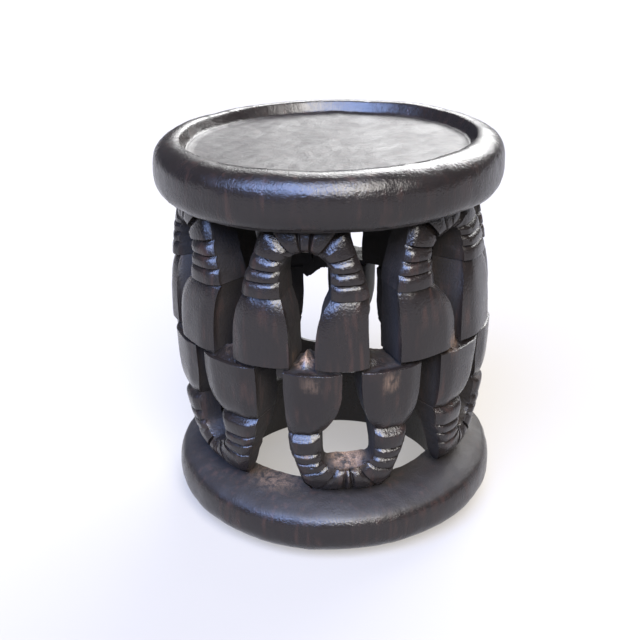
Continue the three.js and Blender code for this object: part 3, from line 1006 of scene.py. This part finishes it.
def hand_finish_tree():
    """Moves a surface a little, as hand tools leave it: warp, ripple and adze strokes."""
    tree, given = node_group("hand finish", {"Geometry": "Geometry", "Wood": "Material"}, {
        "Warp": 0.9 * MM,
        "Warp size": 62 * MM,
        "Ripple": 0.32 * MM,
        "Ripple size": 11 * MM,
        "Stroke": 1.5 * MM,
        "Stroke size": 15 * MM,
        "Chatter": 0.35 * MM,
        "Chatter size": 4.5 * MM,
        "Seed": float(SEED),
    })
    position = add(tree, "GeometryNodeInputPosition")[0]
    own = {name: add(tree, NAMED_ATTRIBUTE, {"Name": name}, data_type="FLOAT")[0]
           for name in ("tooled", "steady")}

    # how far each kind of mark moves the surface along its normal
    marks = {}
    for name, kind, output, details in (
            ("Ripple", "ShaderNodeTexNoise", "Fac", {"Detail": 1.0}),
            ("Stroke", "ShaderNodeTexVoronoi", "Distance", {}),
            ("Chatter", "ShaderNodeTexNoise", "Fac", {"Detail": 2.0})):
        scale = add(tree, MATH, (1.0, given[name + " size"]), operation="DIVIDE")[0]
        dimensions = {"voronoi_dimensions" if name == "Stroke" else "noise_dimensions": "4D"}
        texture = add(tree, kind, {"Vector": position, "W": given["Seed"], "Scale": scale, **details},
                      **dimensions)[output]
        centred = add(tree, MATH, (texture, 0.5), operation="SUBTRACT")[0]
        gain = 1.0 if name == "Stroke" else NOISE_GAIN
        swing = add(tree, MATH, (given[name], gain), operation="MULTIPLY")[0]
        marks[name] = add(tree, MATH, (centred, swing), operation="MULTIPLY")[0]
    tooling = add(tree, MATH, (marks["Stroke"], marks["Chatter"]), operation="ADD")[0]
    total = add(tree, MATH, (own["tooled"], tooling, marks["Ripple"]), operation="MULTIPLY_ADD")[0]
    normal = add(tree, "GeometryNodeInputNormal")[0]
    along = add(tree, VECTOR_MATH, {0: normal, "Scale": total}, operation="SCALE")[0]

    # a broad warp on top, and less of it all near the floor
    scale = add(tree, MATH, (1.0, given["Warp size"]), operation="DIVIDE")[0]
    warp = add(tree, "ShaderNodeTexNoise", {"Vector": position, "W": given["Seed"], "Scale": scale,
                                            "Detail": 1.0}, noise_dimensions="4D")["Color"]
    warp = add(tree, VECTOR_MATH, (warp, (0.5, 0.5, 0.5)), operation="SUBTRACT")[0]
    swing = add(tree, MATH, (given["Warp"], NOISE_GAIN), operation="MULTIPLY")[0]
    warp = add(tree, VECTOR_MATH, {0: warp, "Scale": swing}, operation="SCALE")[0]
    offset = add(tree, VECTOR_MATH, (warp, along), operation="ADD")[0]
    offset = add(tree, VECTOR_MATH, {0: offset, "Scale": own["steady"]}, operation="SCALE")[0]
    moved = add(tree, "GeometryNodeSetPosition", {"Geometry": given["Geometry"], "Offset": offset})[0]
    end_group(tree, moved, given["Wood"])
    return tree


def connected_groups(worked):
    """The points of a bmesh in groups that hang together, the largest group first."""
    waiting = set(worked.verts)
    groups = []
    while waiting:
        group = [waiting.pop()]
        for point in group:
            for edge in point.link_edges:
                other = edge.other_vert(point)
                if other in waiting:
                    waiting.remove(other)
                    group.append(other)
        groups.append(group)
    return sorted(groups, key=len, reverse=True)


def clean_and_triangulate(mesh):
    """Only triangles, and none of the specks that the union leaves in sealed corners."""
    worked = bmesh.new()
    worked.from_mesh(mesh)
    specks = [point for group in connected_groups(worked)[1:] for point in group]
    bmesh.ops.delete(worked, geom=specks, context="VERTS")
    bmesh.ops.triangulate(worked, faces=worked.faces)
    worked.to_mesh(mesh)
    worked.free()


# Curvature, in turns of the normal per metre, from which edges are rubbed and creases get painted shade
SHORTEST_STEP = 0.6 * MM
RUBBED_CURVE = (60, 420)
CREASE_SHADE_CURVE = (30, 320)

# Distance from a raw spot's middle over which it fades, in shares of its reach
RAW_FADE = (0.45, 1.25)


def mark_wear_and_crease_shade(mesh):
    """How rubbed the edges are, how much painted shade darkens the creases and where the wood is raw."""
    points = numbers(mesh.vertices, "co", 3)
    normals = numbers(mesh.vertex_normals, "vector", 3)
    edges = numbers(mesh.edges, "vertices", 2, np.int64)
    step = points[edges[:, 1]] - points[edges[:, 0]]
    length = np.linalg.norm(step, axis=1)
    bend = np.einsum("ij,ij->i", normals[edges[:, 1]] - normals[edges[:, 0]], step)
    bend = bend / np.maximum(length, SHORTEST_STEP) ** 2
    total, weight = np.zeros(len(points)), np.full(len(points), 1e-9)
    for end in (0, 1):
        np.add.at(total, edges[:, end], bend * length)
        np.add.at(weight, edges[:, end], length)
    curvature = spread(total / weight, edges, rounds=1)
    write_attribute(mesh, "worn", spread(smooth_step(*RUBBED_CURVE, curvature), edges, rounds=1))
    # painted shade: concave creases are marked to be darkened, where shade falls
    write_attribute(mesh, "crease_shade", spread(smooth_step(*CREASE_SHADE_CURVE, -curvature), edges, rounds=2))
    raw = np.zeros(len(points))
    for azimuth, radius, height, across, up, strength in RAW_SPOTS:
        centre = wrapped(np.array(azimuth), radius * MM, height * MM)
        away = points - centre
        distance = np.hypot(np.hypot(away[:, 0], away[:, 1]) / (across * MM), away[:, 2] / (up * MM))
        raw = np.maximum(raw, strength * (1 - smooth_step(*RAW_FADE, distance)))
    write_attribute(mesh, "raw", raw)


def finish_by_hand(stool, sizes, wood):
    """The united body with its tool marks, wear, painted crease shade and smooth shading."""
    clean_and_triangulate(stool.data)
    mark_tooled(stool.data, sizes)
    modifier = stool.modifiers.new("hand finish", "NODES")
    modifier.node_group = hand_finish_tree()
    set_inputs(modifier, {"Wood": wood})
    finished = plain_copy(stool, PIECE)
    mesh = finished.data
    mark_wear_and_crease_shade(mesh)
    mesh.shade_smooth()
    mesh.set_sharp_from_angle(angle=math.radians(SHARP_ANGLE))
    return finished


# Material and light

WAXED_ROUGHNESS = 0.2
WAX_IOR = 1.42
FLOOR_GLOW = 0.38
ROOM_GLOW = 0.14
FLOOR_REACH = 9

# Soft boxes of the studio, by direction as seen from the stool: colour and strength, then
# middle, bright half width and whole half width in degrees, of azimuth and of elevation
SOFT_BOXES = (
    ("#ffffff", 21.0, (155, 10, 42), (34, 8, 20)),
    ("#a4bfff", 25.0, (-32, 16, 36), (47, 14, 28)),
    ("#fffaf4", 30.0, (17, 8, 26), (48, 14, 28)),
)


# Patterns of the wood: size of their cells in millimetres along X, Y and Z, and detail
WOOD_NOISES = {
    "streaks": ((7, 7, 60), 4.0),
    "fibres": ((1.1, 1.1, 22), 3.0),
    "blotches": ((34, 34, 46), 3.0),
    "fine": ((2.2, 2.2, 2.8), 3.0),
    "coarse": ((6, 6, 9), 2.0),
}


def ebonised_wood(main_colour):
    """Ebonised hardwood, carved by hand, blackened, waxed and rubbed for years.

    The eye gets a warm black with reddish streaks along the grain, a waxed sheen that
    breaks on fine grain and tool marks, painted shade that darkens the creases, which are
    also duller, and brown wood where edges are rubbed or the surface was left raw.
    """
    material = bpy.data.materials.new("ebonised wood")
    material.use_nodes = True
    tree = material.node_tree
    shader = tree.nodes["Principled BSDF"].inputs
    place = add(tree, "ShaderNodeTexCoord")["Object"]
    value = {name: add(tree, "ShaderNodeAttribute", attribute_name=name)["Fac"]
             for name in ("worn", "crease_shade", "raw", "tooled")}
    for name, (cell, detail) in WOOD_NOISES.items():
        scale = tuple(1 / (size * MM) for size in cell)
        mapped = add(tree, "ShaderNodeMapping", {"Vector": place, "Scale": scale})[0]
        value[name] = add(tree, "ShaderNodeTexNoise",
                          {"Vector": mapped, "Scale": 1.0, "Detail": detail})["Fac"]
    value["mottle"] = add(tree, MATH, (value["streaks"], value["coarse"]), operation="ADD")[0]
    mask = {}
    for name, source, low, high in (
            ("red streaks", "streaks", 0.48, 0.72),
            ("red blotches", "blotches", 0.35, 0.62),
            ("dark fibres", "fibres", 0.5, 0.75),
            ("rubbed specks", "fine", 0.42, 0.6),
            ("raw patches", "mottle", 0.72, 1.12),
            ("pale fibres", "fibres", 0.35, 0.65),
            ("dull blotches", "blotches", 0.3, 0.7)):
        mask[name] = add(tree, MAP_RANGE, {"Value": value[source], "From Min": low, "From Max": high},
                         interpolation_type="SMOOTHSTEP")[0]
    raw = add(tree, MATH, (value["raw"], mask["raw patches"]), operation="MULTIPLY")[0]
    raw_wood = add(tree, MIX, {0: mask["pale fibres"], 6: linear("#4b3b30"), 7: linear("#7a6350")},
                   data_type="RGBA")[2]

    colour = main_colour
    for layer, share, *factors in (
            (linear("#33231d"), mask["red streaks"], mask["red blotches"], 0.55),
            (linear("#0d0b0b"), mask["dark fibres"], 0.35),
            (linear("#57483d"), value["worn"], mask["rubbed specks"], 0.55),
            (raw_wood, raw),
            # painted shade: near-black in the creases, where shade falls
            (linear("#080707"), value["crease_shade"], 0.75)):
        for factor in factors:
            share = add(tree, MATH, (share, factor), operation="MULTIPLY")[0]
        colour = add(tree, MIX, {0: share, 6: colour, 7: layer}, data_type="RGBA")[2]
    tree.links.new(colour, shader["Base Color"])

    roughness = WAXED_ROUGHNESS
    # the creases are also made duller, and this roughness is not painted shade
    for dullness, gain in ((mask["dull blotches"], 0.1), (value["crease_shade"], 0.3), (raw, 0.3),
                           (value["tooled"], 0.45)):
        roughness = add(tree, MATH, (dullness, gain, roughness), operation="MULTIPLY_ADD")[0]
    tree.links.new(roughness, shader["Roughness"])
    shader["IOR"].default_value = WAX_IOR

    bump = add(tree, "ShaderNodeBump", {
        "Strength": 0.55, "Distance": 0.35 * MM, "Height": value["fibres"]})[0]
    bump = add(tree, "ShaderNodeBump", {
        "Strength": 0.7, "Distance": 0.7 * MM, "Height": value["fine"], "Normal": bump})[0]
    tree.links.new(bump, shader["Normal"])
    return material


def matt_floor(colour):
    """Pale matt acrylic lit from below, as on a product table: an even floor, faint shadow."""
    material = bpy.data.materials.new("lit acrylic floor")
    material.use_nodes = True
    shader = material.node_tree.nodes["Principled BSDF"]
    shader.inputs["Base Color"].default_value = colour
    shader.inputs["Roughness"].default_value = 1.0
    shader.inputs["Specular IOR Level"].default_value = 0.0
    shader.inputs["Emission Color"].default_value = linear("#fffaf3")
    shader.inputs["Emission Strength"].default_value = FLOOR_GLOW
    return material


def studio_world():
    """Soft studio light by direction: a dim room, a bright low wall far behind the stool,
    and soft boxes above the camera that are bluish on the left and white on the right."""
    world = bpy.data.worlds.new("studio")
    world.use_nodes = True
    tree = world.node_tree
    direction = add(tree, "ShaderNodeTexCoord")["Generated"]
    right, back, up = add(tree, "ShaderNodeSeparateXYZ", (direction,))
    front = add(tree, MATH, (back, -1.0), operation="MULTIPLY")[0]
    angles = []
    for operation, values in (("ARCTAN2", (right, front)), ("ARCSINE", (up,))):
        angle = add(tree, MATH, values, operation=operation)[0]
        angles.append(add(tree, MATH, (angle,), operation="DEGREES")[0])

    total = tuple(ROOM_GLOW * channel for channel in linear("#eef2ff")[:3])
    for colour, strength, *spans in SOFT_BOXES:
        for angle, (middle, core, edge) in zip(angles, spans):
            away = add(tree, MATH, (angle, float(middle)), operation="SUBTRACT")[0]
            away = add(tree, MATH, (away,), operation="ABSOLUTE")[0]
            other_way = add(tree, MATH, (360.0, away), operation="SUBTRACT")[0]
            away = add(tree, MATH, (away, other_way), operation="MINIMUM")[0]
            inside = add(tree, MAP_RANGE, {"Value": away, "From Min": float(edge), "From Max": float(core)},
                         interpolation_type="SMOOTHSTEP")[0]
            strength = add(tree, MATH, (inside, strength), operation="MULTIPLY")[0]
        glow = add(tree, VECTOR_MATH, {0: linear(colour)[:3], "Scale": strength}, operation="SCALE")[0]
        total = add(tree, VECTOR_MATH, (total, glow), operation="ADD")[0]
    tree.links.new(total, tree.nodes["Background"].inputs["Color"])
    return world


# Properties and operators


class StoolSizes(bpy.types.PropertyGroup):
    seat_radius: bpy.props.FloatProperty(
        name="Seat radius", description="Half the width across the seat", default=190 * MM,
        min=0.1, unit="LENGTH")
    height: bpy.props.FloatProperty(
        name="Height", description="From the floor to the top of the rim", default=432 * MM,
        min=0.2, unit="LENGTH")
    seat_thickness: bpy.props.FloatProperty(
        name="Seat thickness", description="From the rim's top to the seat's underside",
        default=58 * MM, min=0.02, unit="LENGTH")
    dish_depth: bpy.props.FloatProperty(
        name="Dish depth", description="From the rim's top to the seat's hollowed floor",
        default=13.5 * MM, min=0.0, unit="LENGTH")
    base_radius: bpy.props.FloatProperty(
        name="Base radius", description="Half the width across the base ring",
        default=188.5 * MM, min=0.1, unit="LENGTH")
    base_thickness: bpy.props.FloatProperty(
        name="Base thickness", description="Height of the base ring", default=74 * MM,
        min=0.02, unit="LENGTH")
    wood_colour: bpy.props.FloatVectorProperty(
        name="Wood", description="The blackened wood's main colour", subtype="COLOR", size=4,
        min=0, max=1, default=linear("#181412"))
    floor_colour: bpy.props.FloatVectorProperty(
        name="Floor", description="Colour of the studio floor, which also glows", subtype="COLOR", size=4,
        min=0, max=1, default=linear("#706e6c"))


class STOOL_OT_carve(bpy.types.Operator):
    """Carves the stool as one piece of wood and lets it stand for the frame's node"""

    bl_idname = "stool.carve"
    bl_label = "Carve the stool"

    def execute(self, context):
        sizes = context.scene.stool_sizes
        wood = ebonised_wood(sizes.wood_colour)
        tree = gong_tier_tree()
        parts = [
            turn("seat", seat_profile(sizes), closed=False),
            turn("base", base_profile(sizes), closed=True),
            carve_tier("upper_tier", UPPER_TIER, tree, wood),
            carve_tier("lower_tier", LOWER_TIER, tree, wood),
            bridges(),
            webs(),
            hanging_wood(),
        ]
        for part in parts[:2]:
            orient(part.data)
        stool = finish_by_hand(unite(parts, PIECE + "_rough"), sizes, wood)
        if not stool.data.vertices:
            raise RuntimeError("the stool came out empty")
        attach(stool, BODY)
        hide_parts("stool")
        return {"FINISHED"}


class STOOL_OT_stage(bpy.types.Operator):
    """Sets the pale floor, the soft studio light and the camera"""

    bl_idname = "stool.stage"
    bl_label = "Set the stage"

    def execute(self, context):
        scene = context.scene
        corners = [(x * FLOOR_REACH, y * FLOOR_REACH, 0) for x, y in ((-1, -1), (1, -1), (1, 1), (-1, 1))]
        floor = make_object("floor", corners, [(0, 1, 2, 3)])
        floor.data.materials.append(matt_floor(scene.stool_sizes.floor_colour))
        scene.world = studio_world()
        scene.view_settings.view_transform = "Standard"
        scene.view_settings.look = "None"
        set_camera(scene)
        return {"FINISHED"}


def set_camera(scene):
    position = Vector((0.0, -1.03843, 0.67197))
    tilt, yaw, dip, roll = 0.413796, 0.0120781, -0.00648078, 0.0200373
    forward = Vector((0, math.cos(tilt), -math.sin(tilt)))
    right = Vector((1, 0, 0))
    up = right.cross(forward)
    aim = Matrix.Rotation(yaw, 3, up) @ Matrix.Rotation(dip, 3, right)
    forward, right, up = aim @ forward, aim @ right, aim @ up
    spin = Matrix.Rotation(roll, 3, forward)
    right, up = spin @ right, spin @ up
    camera_data = bpy.data.cameras.new("camera")
    camera_data.sensor_width = 36
    camera_data.lens = 54.47
    camera = bpy.data.objects.new("camera", camera_data)
    scene.collection.objects.link(camera)
    turn_matrix = Matrix((right, up, -forward)).transposed()
    camera.matrix_world = Matrix.Translation(position) @ turn_matrix.to_4x4()
    scene.camera = camera


class STOOL_PT_panel(bpy.types.Panel):
    bl_idname = "STOOL_PT_panel"
    bl_label = "Carved stool"
    bl_space_type = "VIEW_3D"
    bl_region_type = "UI"
    bl_category = "Stool"

    def draw(self, context):
        sizes = context.scene.stool_sizes
        for name in sizes.bl_rna.properties.keys():
            if name not in {"rna_type", "name"}:
                self.layout.prop(sizes, name)
        for operator in OPERATORS:
            self.layout.operator(operator.bl_idname)


OPERATORS = (STOOL_OT_carve, STOOL_OT_stage)
CLASSES = (StoolSizes, *OPERATORS, STOOL_PT_panel)


def register():
    for cls in CLASSES:
        bpy.utils.register_class(cls)
    bpy.types.Scene.stool_sizes = bpy.props.PointerProperty(type=StoolSizes)


def unregister():
    del bpy.types.Scene.stool_sizes
    for cls in reversed(CLASSES):
        bpy.utils.unregister_class(cls)


def main():
    register()
    bpy.ops.stool.carve()
    bpy.ops.stool.stage()


if __name__ == "__main__":
    main()
